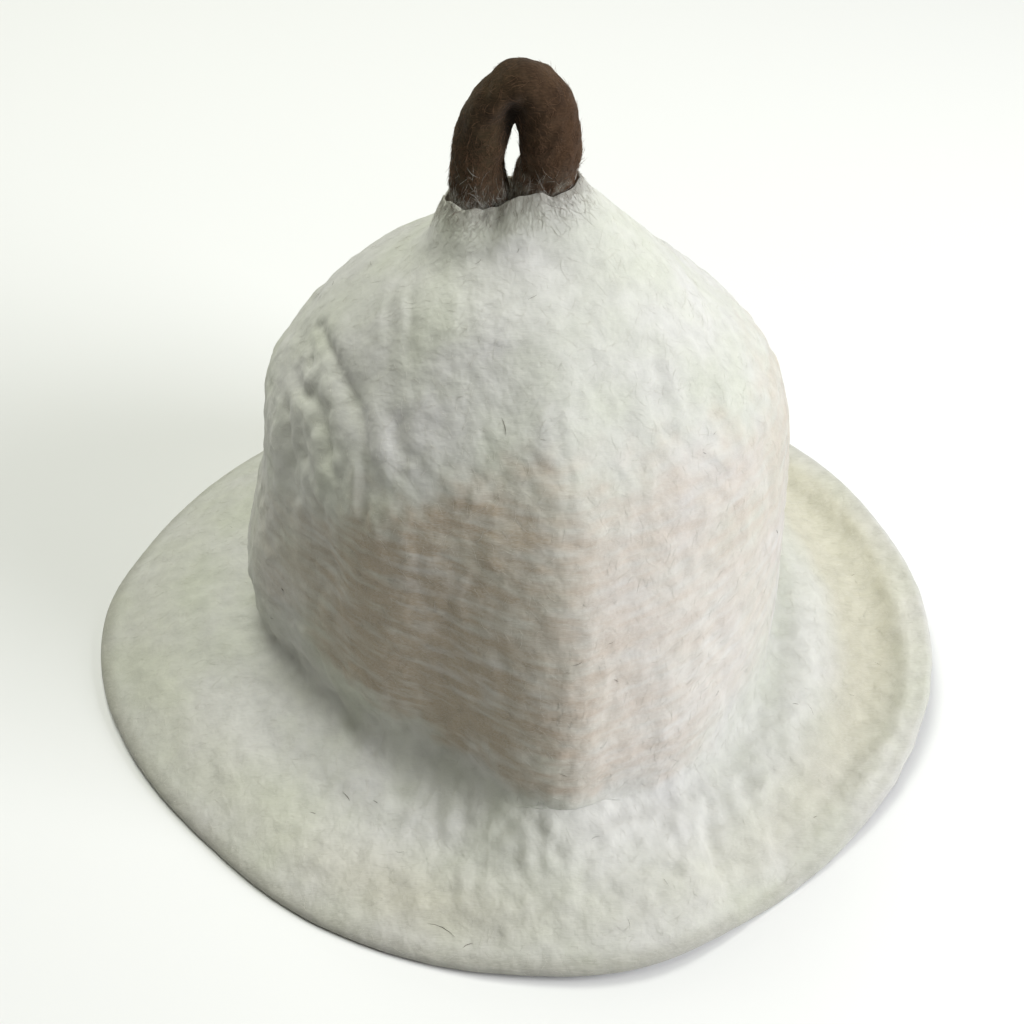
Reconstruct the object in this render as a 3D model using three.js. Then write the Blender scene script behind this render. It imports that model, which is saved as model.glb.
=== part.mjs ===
// A felt sauna hat, in millimetres, +Z up, standing on its brim.
// The hat is felted in one piece: a bell-shaped crown, hollow for the head, that turns out into a wide soft brim.
// A fat roll of brown felt is bent into an upright loop, and its two feet stand in a pocket at the top of the crown.
// The front is -Y, and azimuths are counted in degrees from the front towards +X.

import * as THREE from "three";

// Sizes of the felt body.
const WALL = 4.5; // thickness of the felt
const CROWN_HALF_WIDTH = 95; // outside of the crown at the crease, to the left and right
const CROWN_HALF_DEPTH = 101; // outside of the crown at the crease, to the front and back
const CROWN_RISE = 165; // from the crease up to the collar round the loop
const CREASE_HEIGHT = 22; // the crease between crown and brim, above the surface that the hat stands on
const BRIM_WIDTH = 52; // reach of the brim beyond the crown, seen from above
const FOLD_HEIGHT = 10; // the measure of the folds, the highest being the keel down the front
const WAVE_HEIGHT = 12; // the highest lift of the hem above the surface
const HEM_PRESS = 1.5; // how much the felt is pressed flat under the parts of the hem that carry the hat

// Sizes of the hanging loop and of its seat.
const STRAND = 16.8; // thickness of the felt roll
const EYE_WIDTH = 5; // between the two legs
const LOOP_HEIGHT = 46; // top of the loop above the collar
const POCKET_DEPTH = 4; // how far the feet stand down into the crown
const COLLAR_LIP = 2.2; // felt drawn up round the feet
const COLLAR_FLARE = 5; // how far the collar spreads at its foot
const COLLAR_HEIGHT = 8; // from its foot up to its rim
const COLLAR_TILT = 3; // how much higher it stands at the right end than in the middle, and lower at the left end
const CLEARANCE = 0.3; // between the felt of the loop and the felt of its seat

// Crown sections from below the collar down to the crease. Height is a share of CROWN_RISE above the crease,
// left and right are shares of CROWN_HALF_WIDTH, and front and back of CROWN_HALF_DEPTH.
// Twist is the share of the plan column in AROUND that the section takes.
const CROWN_SECTIONS = [
  { name: "high", height: 0.865, left: 0.46, right: 0.505, front: 0.4, back: 0.37, twist: 0 },
  { name: "upper", height: 0.735, left: 0.675, right: 0.745, front: 0.6, back: 0.61, twist: 0.05 },
  { name: "shoulder", height: 0.57, left: 0.855, right: 0.95, front: 0.78, back: 0.81, twist: 0.25 },
  { name: "middle", height: 0.365, left: 0.915, right: 0.995, front: 0.91, back: 0.91, twist: 0.6 },
  { name: "low", height: 0.155, left: 1, right: 1.01, front: 0.99, back: 0.96, twist: 0.9 },
  { name: "crease", height: 0, left: 0.98, right: 1.015, front: 1.02, back: 0.98, twist: 1 },
];

// Where the brim's stations lie between the crease and the hem.
const BRIM_SHARES = [0.33, 0.67, 1];

// What changes round the hat, a row every 15 degrees from the front.
// Plan is how far the crown stands out of its oval, a share of CROWN_HALF_WIDTH. Reach is a share of BRIM_WIDTH.
// Lift is the hem's height, and bow the height of the middle of the brim over a straight line, as shares of WAVE_HEIGHT.
const AROUND = [
  { azimuth: 0, plan: -0.06, reach: 0.938, lift: 0, bow: -0.05 },
  { azimuth: 15, plan: -0.05, reach: 1.012, lift: 0, bow: -0.05 },
  { azimuth: 30, plan: 0.05, reach: 0.985, lift: 0.02, bow: -0.05 },
  { azimuth: 45, plan: 0.045, reach: 1.007, lift: 0.1, bow: -0.1 },
  { azimuth: 60, plan: 0.03, reach: 1.07, lift: 0.4, bow: -0.35 },
  { azimuth: 75, plan: 0, reach: 1.11, lift: 0.8, bow: -0.55 },
  { azimuth: 90, plan: 0, reach: 1.08, lift: 1, bow: -0.6 },
  { azimuth: 105, plan: 0, reach: 1.015, lift: 0.87, bow: -0.5 },
  { azimuth: 120, plan: 0, reach: 0.985, lift: 0.65, bow: -0.35 },
  { azimuth: 135, plan: 0, reach: 0.94, lift: 0.4, bow: -0.15 },
  { azimuth: 150, plan: 0, reach: 0.92, lift: 0.15, bow: -0.05 },
  { azimuth: 165, plan: 0, reach: 0.89, lift: 0.03, bow: 0 },
  { azimuth: 180, plan: 0, reach: 0.87, lift: 0, bow: 0 },
  { azimuth: 195, plan: 0, reach: 0.86, lift: 0, bow: 0.1 },
  { azimuth: 210, plan: 0, reach: 0.84, lift: 0.02, bow: 0.2 },
  { azimuth: 225, plan: 0, reach: 0.82, lift: 0.05, bow: 0.25 },
  { azimuth: 240, plan: 0, reach: 0.9, lift: 0.12, bow: 0.25 },
  { azimuth: 255, plan: 0, reach: 1, lift: 0.16, bow: 0.23 },
  { azimuth: 270, plan: 0, reach: 1.12, lift: 0.15, bow: 0.2 },
  { azimuth: 285, plan: -0.015, reach: 1.075, lift: 0.11, bow: 0.17 },
  { azimuth: 300, plan: -0.085, reach: 0.96, lift: 0.05, bow: 0.13 },
  { azimuth: 315, plan: -0.13, reach: 0.87, lift: 0, bow: 0.08 },
  { azimuth: 330, plan: -0.117, reach: 0.872, lift: 0, bow: 0.03 },
  { azimuth: 345, plan: -0.11, reach: 0.892, lift: 0, bow: 0 },
];

// Folds and dents. Station counts the rings from the collar: 0 is the collar, 1 its foot, 2 to 7 the crown sections,
// 10 the hem. Left and right are a fold's half widths in degrees of azimuth, reach its half length in stations,
// lean how far its azimuth moves with each station, and height a share of FOLD_HEIGHT, below zero for a dent.
const FOLDS = [
  { name: "top_swell", azimuth: 100, left: 50, right: 50, station: 1.3, reach: 0.7, lean: 0, height: 0.2 },
  { name: "top_hollow", azimuth: -105, left: 50, right: 50, station: 1.6, reach: 0.8, lean: 0, height: -0.38 },
  { name: "keel", azimuth: 8, left: 13, right: 22, station: 7, reach: 2.6, lean: 0, height: 0.85 },
  { name: "shoulder_dent", azimuth: -62, left: 7, right: 8, station: 4.1, reach: 0.5, lean: 6, height: -0.3 },
  { name: "side_dent", azimuth: -48, left: 6, right: 6, station: 4.9, reach: 0.7, lean: 4, height: -0.22 },
  { name: "inner_ridge", azimuth: 72, left: 26, right: 22, station: 8.3, reach: 0.5, lean: 0, height: 0.35 },
  { name: "brim_valley", azimuth: 38, left: 6, right: 7, station: 9, reach: 1.1, lean: -3, height: -0.35 },
  { name: "brim_swell", azimuth: 22, left: 8, right: 8, station: 9.2, reach: 1, lean: -3, height: 0.2 },
];

// The loop's centre line from the left foot over to the right one. Across and arch are shares of half the legs'
// spacing, leg is a share of the straight legs' length, and thick of STRAND.
const LOOP_ROWS = [
  { across: -1, leg: 0, arch: 0, thick: 1.04 },
  { across: -0.98, leg: 0.33, arch: 0, thick: 0.98 },
  { across: -0.95, leg: 0.68, arch: 0, thick: 0.93 },
  { across: -0.88, leg: 1, arch: 0.02, thick: 0.87 },
  { across: -0.55, leg: 1, arch: 0.71, thick: 0.84 },
  { across: 0.16, leg: 1, arch: 1, thick: 0.9 },
  { across: 0.85, leg: 1, arch: 0.71, thick: 0.92 },
  { across: 1.13, leg: 1, arch: 0, thick: 0.97 },
  { across: 1.1, leg: 0.66, arch: 0, thick: 1.02 },
  { across: 1.03, leg: 0.33, arch: 0, thick: 1.02 },
  { across: 1, leg: 0, arch: 0, thick: 1.04 },
];

// Facets: how finely the shapes are divided.
const SEGMENTS = 90; // round the hat
const STEPS_PER_STATION = 3; // down the outside
const HEM_STEPS = 3; // round the hem
const INNER_STEPS = 18; // up the inside
const INNER_CROWDING = 1.25; // over 1 crowds the inside's rings towards the hem
const INNER_TOP = 1.4; // the station, counted from the collar, where the inside's roof begins
const STRAND_SIDES = 16;
const LOOP_STEPS = 30;

// What the sizes give.
const LEG_OFFSET = (EYE_WIDTH + STRAND) / 2;
const FOOT_RADIUS = (LOOP_ROWS[0].thick * STRAND) / 2;
const POCKET_RADIUS = FOOT_RADIUS + CLEARANCE;
const COLLAR_TOP = CREASE_HEIGHT + CROWN_RISE;
const POCKET_FLOOR = COLLAR_TOP - POCKET_DEPTH;

// Catmull-Rom value between b and c at share t, with a before and d after them.
function catmullRom(a, b, c, d, t) {
  const slope = (c - a) * t;
  const curve = (2 * a - 5 * b + 4 * c - d) * t * t;
  const turn = (3 * b - a - 3 * c + d) * t * t * t;
  return 0.5 * (2 * b + slope + curve + turn);
}

// A column of AROUND at any azimuth, as a smooth closed curve through its rows.
function around(column, azimuth) {
  const count = AROUND.length;
  const place = ((((azimuth % 360) + 360) % 360) * count) / 360;
  const first = Math.floor(place);
  const [a, b, c, d] = [-1, 0, 1, 2].map((k) => AROUND[(first + k + count) % count][column]);
  return catmullRom(a, b, c, d, place - first);
}

// Distance from the axis to a slot with round ends, whose end centres lie LEG_OFFSET to the left and right.
function slotRadius(radians, radius) {
  const across = Math.abs(Math.sin(radians));
  const along = Math.abs(Math.cos(radians));
  const straight = radius / Math.max(along, 1e-9);
  if (straight * across <= LEG_OFFSET) return straight;
  return LEG_OFFSET * across + Math.sqrt(radius ** 2 - (LEG_OFFSET * along) ** 2);
}

// Distance from the axis to an oval with its own half length on each of its four sides.
function ovalRadius(radians, left, right, front, back) {
  const width = Math.sin(radians) > 0 ? right : left;
  const depth = Math.cos(radians) > 0 ? front : back;
  return 1 / Math.hypot(Math.sin(radians) / width, Math.cos(radians) / depth);
}

// The collar's rim and foot at one azimuth, higher towards the right end of the slot.
function collarHeight(radians, height) {
  return height + COLLAR_TILT * Math.sin(radians);
}

function crownRadius(section, azimuth) {
  const oval = ovalRadius(
    THREE.MathUtils.degToRad(azimuth),
    section.left * CROWN_HALF_WIDTH,
    section.right * CROWN_HALF_WIDTH,
    section.front * CROWN_HALF_DEPTH,
    section.back * CROWN_HALF_DEPTH,
  );
  return oval + around("plan", azimuth) * section.twist * CROWN_HALF_WIDTH;
}

// The outer profile's stations at one azimuth, as [radius, height]: collar, its foot, crown sections and brim.
function stations(azimuth) {
  const radians = THREE.MathUtils.degToRad(azimuth);
  const lip = POCKET_RADIUS + COLLAR_LIP;
  const list = [
    [slotRadius(radians, lip), collarHeight(radians, COLLAR_TOP)],
    [slotRadius(radians, lip + COLLAR_FLARE), collarHeight(radians, COLLAR_TOP - COLLAR_HEIGHT)],
  ];
  for (const section of CROWN_SECTIONS)
    list.push([crownRadius(section, azimuth), CREASE_HEIGHT + section.height * CROWN_RISE]);
  const [creaseRadius, creaseHeight] = list[list.length - 1];
  const oval = ovalRadius(radians, CROWN_HALF_WIDTH, CROWN_HALF_WIDTH, CROWN_HALF_DEPTH, CROWN_HALF_DEPTH);
  const hemRadius = oval + around("reach", azimuth) * BRIM_WIDTH;
  const hemHeight = WALL - HEM_PRESS + around("lift", azimuth) * WAVE_HEIGHT;
  const bow = around("bow", azimuth) * WAVE_HEIGHT;
  for (const share of BRIM_SHARES)
    list.push([
      creaseRadius + (hemRadius - creaseRadius) * share,
      creaseHeight + (hemHeight - creaseHeight) * share + bow * 4 * share * (1 - share),
    ]);
  return list;
}

const LAST_STATION = 2 + CROWN_SECTIONS.length + BRIM_SHARES.length - 1;

// How far the folds lift the felt at an azimuth and station: a bell curve across each fold and along it.
function foldHeight(azimuth, station) {
  let height = 0;
  for (const fold of FOLDS) {
    const middle = fold.azimuth + fold.lean * (station - fold.station);
    const off = ((((azimuth - middle) % 360) + 540) % 360) - 180;
    const across = off / (off > 0 ? fold.right : fold.left);
    const along = (station - fold.station) / fold.reach;
    height += fold.height * FOLD_HEIGHT * Math.exp(-across * across - along * along);
  }
  return height;
}

// A point of the smooth outer surface, before the folds, at an azimuth and station.
function bodyPoint(azimuth, station) {
  const list = stations(azimuth);
  const first = Math.min(Math.floor(station), LAST_STATION - 1);
  const at = (k, axis) => {
    if (k < 0) return 2 * list[0][axis] - list[1][axis];
    if (k > LAST_STATION) return 2 * list[LAST_STATION][axis] - list[LAST_STATION - 1][axis];
    return list[k][axis];
  };
  const [radius, height] = [0, 1].map((axis) =>
    catmullRom(at(first - 1, axis), at(first, axis), at(first + 1, axis), at(first + 2, axis), station - first),
  );
  const radians = THREE.MathUtils.degToRad(azimuth);
  return new THREE.Vector3(radius * Math.sin(radians), -radius * Math.cos(radians), height);
}

// The outward normal and the downhill direction of a surface at an azimuth and station.
function directions(point, azimuth, station) {
  const turn = 0.5;
  const step = 0.05;
  const sideways = point(azimuth + turn, station).sub(point(azimuth - turn, station));
  const low = Math.max(0, station - step);
  const high = Math.min(LAST_STATION, station + step);
  const downhill = point(azimuth, high).sub(point(azimuth, low)).normalize();
  const normal = new THREE.Vector3().crossVectors(downhill, sideways).normalize();
  return { normal, downhill };
}

// A point of the outer surface with its folds.
function outerPoint(azimuth, station) {
  const { normal } = directions(bodyPoint, azimuth, station);
  return bodyPoint(azimuth, station).addScaledVector(normal, foldHeight(azimuth, station));
}

// The point inside the felt, a wall's thickness behind the outer surface.
function innerPoint(azimuth, station) {
  const { normal } = directions(outerPoint, azimuth, station);
  return outerPoint(azimuth, station).addScaledVector(normal, -WALL);
}

// The hem: half a circle as thick as the wall, from the outer surface at 0 round to the inner one at 1.
function hemPoint(azimuth, share) {
  const { normal, downhill } = directions(outerPoint, azimuth, LAST_STATION);
  const angle = share * Math.PI;
  return outerPoint(azimuth, LAST_STATION)
    .addScaledVector(normal, ((Math.cos(angle) - 1) * WALL) / 2)
    .addScaledVector(downhill, (Math.sin(angle) * WALL) / 2);
}

function slotPoint(azimuth, radius, height) {
  const radians = THREE.MathUtils.degToRad(azimuth);
  const reach = slotRadius(radians, radius);
  return new THREE.Vector3(reach * Math.sin(radians), -reach * Math.cos(radians), height);
}

// The rings of the felt body, from the pocket's floor over the outside, round the hem and up the inside.
function bodyRings() {
  const rings = [];
  const addRing = (make) => {
    const ring = [];
    for (let k = 0; k < SEGMENTS; k++) ring.push(make((k * 360) / SEGMENTS));
    rings.push(ring);
  };
  addRing((azimuth) => slotPoint(azimuth, POCKET_RADIUS, POCKET_FLOOR));
  addRing((azimuth) => {
    const rim = slotPoint(azimuth, POCKET_RADIUS, 0);
    return rim.setZ(collarHeight(THREE.MathUtils.degToRad(azimuth), COLLAR_TOP));
  });
  for (let k = 0; k <= LAST_STATION * STEPS_PER_STATION; k++)
    addRing((azimuth) => outerPoint(azimuth, k / STEPS_PER_STATION));
  for (let k = 1; k < HEM_STEPS; k++) addRing((azimuth) => hemPoint(azimuth, k / HEM_STEPS));
  for (let k = 0; k <= INNER_STEPS; k++) {
    const share = (k / INNER_STEPS) ** INNER_CROWDING;
    addRing((azimuth) => innerPoint(azimuth, LAST_STATION - (LAST_STATION - INNER_TOP) * share));
  }
  return rings;
}

// A closed mesh from rings of equal count: strips between neighbours, and a fan to a point at each end.
function closedFromRings(rings, firstTip, lastTip) {
  const count = rings[0].length;
  const points = rings.flat();
  points.push(firstTip, lastTip);
  const [first, last] = [points.length - 2, points.length - 1];
  const faces = [];
  for (let r = 0; r + 1 < rings.length; r++)
    for (let k = 0; k < count; k++) {
      const next = (k + 1) % count;
      const [a, b] = [r * count + k, r * count + next];
      faces.push(a, a + count, b, b, a + count, b + count);
    }
  const start = (rings.length - 1) * count;
  for (let k = 0; k < count; k++) {
    const next = (k + 1) % count;
    faces.push(first, k, next);
    faces.push(last, start + next, start + k);
  }
  const geometry = new THREE.BufferGeometry().setFromPoints(points);
  geometry.setIndex(faces);
  geometry.computeVertexNormals();
  return geometry;
}

// Crown and brim, one piece of felt. What would sink below the resting surface is pressed flat on it.
function feltBody() {
  const rings = bodyRings();
  for (const ring of rings) for (const point of ring) point.z = Math.max(point.z, 0);
  const pocketFloor = new THREE.Vector3(0, 0, POCKET_FLOOR);
  const roof = new THREE.Vector3(0, 0, POCKET_FLOOR - WALL);
  return closedFromRings(rings, pocketFloor, roof);
}

// The loop: a round strand of changing thickness along an upright arch, with flat feet.
function hangingLoop() {
  const foot = POCKET_FLOOR + CLEARANCE;
  const legs = COLLAR_TOP + LOOP_HEIGHT - STRAND / 2 - LEG_OFFSET - foot;
  const path = new THREE.CatmullRomCurve3(
    LOOP_ROWS.map(
      (row) => new THREE.Vector3(row.across * LEG_OFFSET, 0, foot + row.leg * legs + row.arch * LEG_OFFSET),
    ),
    false,
    "catmullrom",
  );
  const rings = [];
  for (let k = 0; k <= LOOP_STEPS; k++) {
    const share = k / LOOP_STEPS;
    const place = share * (LOOP_ROWS.length - 1);
    const first = Math.min(Math.floor(place), LOOP_ROWS.length - 2);
    const [a, b, c, d] = [-1, 0, 1, 2].map(
      (n) => LOOP_ROWS[THREE.MathUtils.clamp(first + n, 0, LOOP_ROWS.length - 1)].thick,
    );
    const radius = (catmullRom(a, b, c, d, place - first) * STRAND) / 2;
    const centre = path.getPoint(share);
    const along = path.getTangent(share);
    if (k === 0) along.set(0, 0, 1);
    if (k === LOOP_STEPS) along.set(0, 0, -1);
    const side = new THREE.Vector3(along.z, 0, -along.x);
    const ring = [];
    for (let n = 0; n < STRAND_SIDES; n++) {
      const angle = (n * 2 * Math.PI) / STRAND_SIDES;
      ring.push(
        centre
          .clone()
          .addScaledVector(side, radius * Math.cos(angle))
          .add(new THREE.Vector3(0, radius * Math.sin(angle), 0)),
      );
    }
    rings.push(ring);
  }
  return closedFromRings(rings.reverse(), path.getPoint(1), path.getPoint(0));
}

const cream = new THREE.MeshStandardMaterial({ color: 0xd9d8cc, roughness: 0.95, metalness: 0 });
const brown = new THREE.MeshStandardMaterial({ color: 0x3a2618, roughness: 0.95, metalness: 0 });

function named(name, geometry, material) {
  const mesh = new THREE.Mesh(geometry, material);
  mesh.name = name;
  return mesh;
}

const hat = new THREE.Group();
hat.add(named("felt_body", feltBody(), cream));
hat.add(named("hanging_loop", hangingLoop(), brown));

// The origin is the middle of the hat's footprint, on the surface that it stands on.
const box = new THREE.Box3().setFromObject(hat);
const centre = box.getCenter(new THREE.Vector3());
hat.position.set(-centre.x, -centre.y, -box.min.z);

export default hat;
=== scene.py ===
# %% [markdown]
# # A felt sauna hat
# The real hat is made from loose wool. It is laid over a form, wetted and rubbed until its fibres lock, so
# crown and brim are one piece of thick felt with no seam. A roll of brown wool is felted into the top as a
# hanging loop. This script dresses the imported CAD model. It loads that model as a frame, makes a finer
# surface over each solid, lays loose fibres on both, and gives every surface a woollen finish.

import bpy
import numpy as np
from mathutils import Matrix, Vector


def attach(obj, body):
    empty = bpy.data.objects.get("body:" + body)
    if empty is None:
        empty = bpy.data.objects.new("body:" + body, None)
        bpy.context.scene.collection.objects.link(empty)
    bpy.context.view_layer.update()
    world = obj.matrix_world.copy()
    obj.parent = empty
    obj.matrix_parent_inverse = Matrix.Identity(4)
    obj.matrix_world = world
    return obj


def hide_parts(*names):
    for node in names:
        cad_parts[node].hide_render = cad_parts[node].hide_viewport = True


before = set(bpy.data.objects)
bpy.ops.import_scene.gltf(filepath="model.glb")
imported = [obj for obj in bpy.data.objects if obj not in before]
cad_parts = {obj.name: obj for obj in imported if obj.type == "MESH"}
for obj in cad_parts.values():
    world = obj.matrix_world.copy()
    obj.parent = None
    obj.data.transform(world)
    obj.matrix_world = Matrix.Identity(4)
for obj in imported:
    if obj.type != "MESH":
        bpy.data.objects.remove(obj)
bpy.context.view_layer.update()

MM = 0.001  # one millimetre in Blender's metres


# %% [markdown]
# ## The camera
# A camera is placed where the photograph was taken: 47 degrees above the table and 62 cm from a point under
# the crown. That point shows a little below the middle of the picture, so the camera aims slightly above
# it. The place is worked out from the picture's own numbers and not set by eye, so that the outline can be
# compared with the photograph to the pixel.

# %% The camera
PICTURE = 1024  # pixels each way
FOCAL_PIXELS = 1602.0
SENSOR = 36.0  # millimetres
ELEVATION = np.radians(47.0)
DISTANCE = 620.0  # millimetres
AIM_POINT = np.array([1.72, 12.44, 0.0])  # millimetres
AIM_PIXEL = (516.0, 601.5)

tilt = ELEVATION - np.arctan2(AIM_PIXEL[1] - PICTURE / 2, FOCAL_PIXELS)
pan = np.arctan2(AIM_PIXEL[0] - PICTURE / 2, FOCAL_PIXELS)
level = np.array([1.0, 0.0, 0.0])
ahead = np.array([0.0, np.cos(tilt), -np.sin(tilt)])
above = np.cross(level, ahead)
ahead = ahead * np.cos(pan) - level * np.sin(pan)
across = np.cross(ahead, above)
place = AIM_POINT + DISTANCE * np.array([0.0, -np.cos(ELEVATION), np.sin(ELEVATION)])

camera_data = bpy.data.cameras.new("camera")
camera_data.sensor_width = SENSOR
camera_data.lens = FOCAL_PIXELS / PICTURE * SENSOR
camera = bpy.data.objects.new("camera", camera_data)
axes = np.column_stack([across, above, -ahead])
camera.matrix_world = Matrix.Translation(Vector(place * MM)) @ Matrix(axes.tolist()).to_4x4()
bpy.context.scene.collection.objects.link(camera)
bpy.context.scene.camera = camera
print("lens", round(camera_data.lens, 2), "mm, camera at", np.round(place, 1), "mm")

# %% [markdown]
# ## The hat's numbers
# The CAD solid was lofted from short tables: six sections of the crown, a row every 15 degrees round the
# hat, and a list of folds. The fine surface repeats the same tables, so it lies where the solid lies.
# Azimuths are counted in degrees from the front towards the right. A station is a place down the profile: 0
# is the collar round the loop, 1 its foot, 2 to 7 the crown's sections, 7 the crease and 10 the hem.

# %% The hat's numbers
WALL = 4.5  # thickness of the felt, in millimetres like all lengths below
CROWN_HALF_WIDTH = 95.0
CROWN_HALF_DEPTH = 101.0
CROWN_RISE = 165.0
CREASE_HEIGHT = 22.0
BRIM_WIDTH = 52.0
FOLD_HEIGHT = 10.0
WAVE_HEIGHT = 12.0
HEM_PRESS = 1.5
STRAND = 16.8
EYE_WIDTH = 5.0
POCKET_DEPTH = 4.0
COLLAR_FLARE = 7.2
COLLAR_HEIGHT = 8.0
COLLAR_TILT = 3.0
LEG_OFFSET = (STRAND + EYE_WIDTH) / 2
COLLAR_TOP = CREASE_HEIGHT + CROWN_RISE
POCKET_FLOOR = COLLAR_TOP - POCKET_DEPTH
POCKET_RADIUS = 1.04 * STRAND / 2 + 0.3

# Crown sections: height above the crease, and half lengths to the left, right, front and back, all as
# shares, then how much of the plan column each takes.
CROWN_SECTIONS = [
    (0.865, 0.46, 0.505, 0.4, 0.37, 0),
    (0.735, 0.675, 0.745, 0.6, 0.61, 0.05),
    (0.57, 0.855, 0.95, 0.78, 0.81, 0.25),
    (0.365, 0.915, 0.995, 0.91, 0.91, 0.6),
    (0.155, 1, 1.01, 0.99, 0.96, 0.9),
    (0, 0.98, 1.015, 1.02, 0.98, 1),
]
BRIM_SHARES = (0.33, 0.67, 1)

# Every 15 degrees round the hat: plan of the crown, reach of the brim, lift of the hem, bow of the brim.
AROUND = np.array([
    (-0.06, 0.938, 0, -0.05), (-0.05, 1.012, 0, -0.05), (0.05, 0.985, 0.02, -0.05), (0.045, 1.007, 0.1, -0.1),
    (0.03, 1.07, 0.4, -0.35), (0, 1.11, 0.8, -0.55), (0, 1.08, 1, -0.6), (0, 1.015, 0.87, -0.5),
    (0, 0.985, 0.65, -0.35), (0, 0.94, 0.4, -0.15), (0, 0.92, 0.15, -0.05), (0, 0.89, 0.03, 0),
    (0, 0.87, 0, 0), (0, 0.86, 0, 0.1), (0, 0.84, 0.02, 0.2), (0, 0.82, 0.05, 0.25),
    (0, 0.9, 0.12, 0.25), (0, 1, 0.16, 0.23), (0, 1.12, 0.15, 0.2), (-0.015, 1.075, 0.11, 0.17),
    (-0.085, 0.96, 0.05, 0.13), (-0.13, 0.87, 0, 0.08), (-0.117, 0.872, 0, 0.03), (-0.11, 0.892, 0, 0),
]).T

# Folds and dents: azimuth, half widths to the left and right in degrees, station, half length in stations,
# how far the azimuth moves with each station, and height as a share of FOLD_HEIGHT.
FOLDS = [
    (100, 50, 50, 1.3, 0.7, 0, 0.2), (-105, 50, 50, 1.6, 0.8, 0, -0.38), (8, 13, 22, 7, 2.6, 0, 0.85),
    (-62, 7, 8, 4.1, 0.5, 6, -0.3), (-48, 6, 6, 4.9, 0.7, 4, -0.22), (72, 26, 22, 8.3, 0.5, 0, 0.35),
    (38, 6, 7, 9, 1.1, -3, -0.35), (22, 8, 8, 9.2, 1, -3, 0.2),
]
# The real felt differs a little from the solid: a sharper keel with a flat face on each side, a fuller
# corner at the crease and under the collar, a few millimetres more or less at the shoulders, and a hem that
# rolls down.
FOLDS += [
    (12.5, 9, 8.5, 6, 2.1, -0.8, 0.5), (13, 10, 10, 3.4, 1.5, -1.5, 0.18),
    (30, 12, 12, 5.6, 1.8, 0, -0.08), (-17, 13, 12, 5.8, 1.9, 0, -0.28), (12, 10, 24, 5.8, 2, -0.8, 0.2),
    (-45, 42, 44, 7.02, 0.36, 0, 0.24), (-45, 42, 44, 7.5, 0.45, 0, 0.24), (2, 18, 16, 7.2, 0.5, 0, 0.15),
    (80, 32, 34, 7.5, 0.42, 0, 0.36), (72, 26, 22, 8.3, 0.5, 0, -0.22), (5, 55, 50, 1.75, 0.6, 0, 0.28),
    (102, 16, 16, 2.65, 0.4, 0, -0.26), (-95, 12, 12, 3.75, 0.3, 0, 0.2), (-86, 16, 16, 4.4, 0.5, 0, -0.14),
    (0, 60, 60, 0.95, 0.6, 0, 0.4), (5, 65, 60, 0.62, 0.42, 0, 0.28), (180, 60, 60, 0.95, 0.6, 0, 0.3),
    (90, 40, 40, 0.9, 0.5, 0, 0.12), (-15, 70, 45, 9, 0.75, 0, 0.22),
]
LAST = 1 + len(CROWN_SECTIONS) + len(BRIM_SHARES)

# The axis of the crown in the frame is the middle between the loop's two feet.
loop_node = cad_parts["hanging_loop"]
corners = np.empty(len(loop_node.data.vertices) * 3)
loop_node.data.vertices.foreach_get("co", corners)
corners = corners.reshape(-1, 3) / MM
feet = corners[corners[:, 2] < corners[:, 2].min() + 0.01]
AXIS = np.append((feet.min(0) + feet.max(0))[:2] / 2, 0.0)
print("the crown's axis stands at", np.round(AXIS[:2], 2), "mm")

# %% [markdown]
# ## The felt body as a surface
# One could model the hat with a brush in sculpt mode. A surface that is worked out keeps to the CAD model,
# and every dent has a number that can be changed. Each azimuth has its own profile, a smooth curve through
# the stations. The folds then lift that surface along its outward direction.


# %% The felt body as a surface
def smooth_steps(t):
    """The four Catmull-Rom weights at share t between the second and third of four values."""
    return 0.5 * np.stack([
        -t + 2 * t**2 - t**3,
        2 - 5 * t**2 + 3 * t**3,
        t + 4 * t**2 - 3 * t**3,
        -(t**2) + t**3,
    ])


def closed_curve(values, azimuth):
    """A smooth closed curve through evenly spaced values round the hat, read at any azimuth."""
    place = (azimuth % 360) * len(values) / 360
    first = np.floor(place).astype(int)
    weights = smooth_steps(place - first)
    return sum(weights[k] * values[(first + k - 1) % len(values)] for k in range(4))


def station_weights(stations):
    """How much each profile point counts at a station, by Catmull-Rom, with a mirrored point at each end."""
    first = np.minimum(np.floor(stations).astype(int), LAST - 1)
    four = smooth_steps(stations - first)
    table = np.zeros((len(stations), LAST + 3))
    rows = np.arange(len(stations))
    for k in range(4):
        table[rows, first + k] += four[k]
    table[:, 1] += 2 * table[:, 0]
    table[:, 2] -= table[:, 0]
    table[:, -2] += 2 * table[:, -1]
    table[:, -3] -= table[:, -1]
    return table[:, 1:-1]


def oval_radius(radians, left=1, right=1, front=1, back=1):
    """Distance from the axis to an oval, whose four half lengths are shares of the crown's."""
    width = np.where(np.sin(radians) > 0, right, left) * CROWN_HALF_WIDTH
    depth = np.where(np.cos(radians) > 0, front, back) * CROWN_HALF_DEPTH
    return 1 / np.hypot(np.sin(radians) / width, np.cos(radians) / depth)


def slot_radius(radians, radius):
    """Distance from the axis to a slot with round ends, which are centred on the loop's feet."""
    sideways, forwards = np.abs(np.sin(radians)), np.abs(np.cos(radians))
    straight = radius / np.maximum(forwards, 1e-9)
    end = LEG_OFFSET * sideways + np.sqrt(np.maximum(radius**2 - (LEG_OFFSET * forwards) ** 2, 0))
    return np.where(straight * sideways <= LEG_OFFSET, straight, end)


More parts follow.
